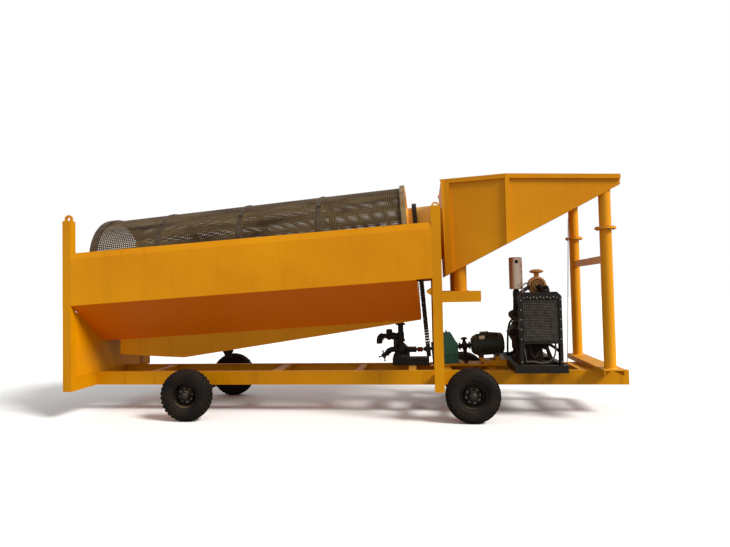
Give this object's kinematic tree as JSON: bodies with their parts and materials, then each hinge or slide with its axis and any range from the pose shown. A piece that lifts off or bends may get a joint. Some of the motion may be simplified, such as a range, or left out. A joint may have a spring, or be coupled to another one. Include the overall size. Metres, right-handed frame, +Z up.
{
  "type": "mobile trommel screen",
  "caption": "Wheeled frame with an inclined rotating screen drum in a wash trough, a high feed hopper on legs, a chain drive with gear reducer, a slurry pump and a diesel generator set.",
  "frame": {"origin": "on the ground under the middle of the machine's length and width", "axes": "+X along the frame towards the hopper end, +Y across to the far side, +Z up"},
  "size_m": [8.862, 2.26, 3.7627],
  "materials": {
    "black_paint": "satin",
    "bright_steel": "satin",
    "core_aluminium": "dusty",
    "dark_steel": "oily",
    "fan_plastic": "matte",
    "green_casting": "gloss paint",
    "rim_paint": "satin",
    "screen_steel": "weathered",
    "tan_paint": "satin",
    "tyre_rubber": "matte",
    "yellow_paint": "satin"
  },
  "bodies": {
    "chassis": {"air_cleaner": "tan_paint", "axle_beams": "black_paint", "chassis_rails": "yellow_paint", "cross_members": "yellow_paint", "drive_base": "yellow_paint", "drive_chain": "dark_steel", "drive_coupling": "black_paint", "drive_motor": "black_paint", "end_plates": "yellow_paint", "engine_block": "black_paint", "engine_head": "black_paint", "feed_hopper": "yellow_paint", "frame_posts": "yellow_paint", "gear_reducer": "green_casting", "generator": "black_paint", "genset_base": "black_paint", "hopper_arms": "yellow_paint", "hopper_legs": "yellow_paint", "hopper_rim": "yellow_paint", "leg_base": "yellow_paint", "lifting_eyes": "yellow_paint", "muffler": "bright_steel", "pump": "black_paint", "pump_base": "black_paint", "pump_pipes": "black_paint", "radiator_core": "core_aluminium", "radiator_frame": "black_paint", "roller_beams": "yellow_paint", "roller_brackets": "dark_steel", "shaft_blocks": "black_paint", "side_panels": "yellow_paint", "trough_channel": "yellow_paint", "trough_drain": "black_paint", "trough_sides": "yellow_paint"},
    "drum": {"drum_head": "yellow_paint", "drum_rings": "screen_steel", "drum_screen": "screen_steel", "drum_sprocket": "dark_steel"},
    "drive_sprocket": {"drive_sprocket": "dark_steel"},
    "cooling_fan": {"cooling_fan": "fan_plastic"},
    "roller_rear_near": {"roller_rear_near": "dark_steel"},
    "roller_rear_far": {"roller_rear_far": "dark_steel"},
    "roller_front_near": {"roller_front_near": "dark_steel"},
    "roller_front_far": {"roller_front_far": "dark_steel"},
    "wheel_rear_near": {"tyre_rear_near": "tyre_rubber", "rim_rear_near": "rim_paint"},
    "wheel_rear_far": {"tyre_rear_far": "tyre_rubber", "rim_rear_far": "rim_paint"},
    "wheel_front_near": {"tyre_front_near": "tyre_rubber", "rim_front_near": "rim_paint"},
    "wheel_front_far": {"tyre_front_far": "tyre_rubber", "rim_front_far": "rim_paint"}
  },
  "joints": [
    {"name": "drum_spin", "type": "hinge", "parent": "chassis", "child": "drum", "pos_m": [0, 0, 2.797], "axis": [0.9972, 0, 0.075], "continuous": true},
    {"name": "drive_sprocket_spin", "type": "hinge", "parent": "chassis", "child": "drive_sprocket", "pos_m": [1.39202, 0.25, 0.95519], "axis": [0.9972, 0, 0.075], "continuous": true},
    {"name": "roller_rear_near_spin", "type": "hinge", "parent": "chassis", "child": "roller_rear_near", "pos_m": [-4.03263, -0.50682, 1.68042], "axis": [0.9972, 0, 0.075], "continuous": true},
    {"name": "roller_rear_far_spin", "type": "hinge", "parent": "chassis", "child": "roller_rear_far", "pos_m": [-4.03263, 0.50682, 1.68042], "axis": [0.9972, 0, 0.075], "continuous": true},
    {"name": "roller_front_near_spin", "type": "hinge", "parent": "chassis", "child": "roller_front_near", "pos_m": [1.14291, -0.51635, 2.05427], "axis": [0.9972, 0, 0.075], "continuous": true},
    {"name": "roller_front_far_spin", "type": "hinge", "parent": "chassis", "child": "roller_front_far", "pos_m": [1.14291, 0.51635, 2.05427], "axis": [0.9972, 0, 0.075], "continuous": true},
    {"name": "fan_spin", "type": "hinge", "parent": "chassis", "child": "cooling_fan", "pos_m": [3.06, -0.57, 1.31], "axis": [0, 1, 0], "continuous": true},
    {"name": "wheel_rear_near_spin", "type": "hinge", "parent": "chassis", "child": "wheel_rear_near", "pos_m": [-2.405, -1.022, 0.405], "axis": [0, 1, 0], "continuous": true},
    {"name": "wheel_rear_far_spin", "type": "hinge", "parent": "chassis", "child": "wheel_rear_far", "pos_m": [-2.405, 1.022, 0.405], "axis": [0, 1, 0], "continuous": true},
    {"name": "wheel_front_near_spin", "type": "hinge", "parent": "chassis", "child": "wheel_front_near", "pos_m": [2.028, -1.022, 0.405], "axis": [0, 1, 0], "continuous": true},
    {"name": "wheel_front_far_spin", "type": "hinge", "parent": "chassis", "child": "wheel_front_far", "pos_m": [2.028, 1.022, 0.405], "axis": [0, 1, 0], "continuous": true}
  ],
  "couplings": [
    {"joint": "drive_sprocket_spin", "follows": "drum_spin", "ratio": 5.5},
    {"joint": "roller_rear_near_spin", "follows": "drum_spin", "ratio": -9.6222},
    {"joint": "roller_rear_far_spin", "follows": "drum_spin", "ratio": -9.6222},
    {"joint": "roller_front_near_spin", "follows": "drum_spin", "ratio": -9.8222},
    {"joint": "roller_front_far_spin", "follows": "drum_spin", "ratio": -9.8222}
  ]
}
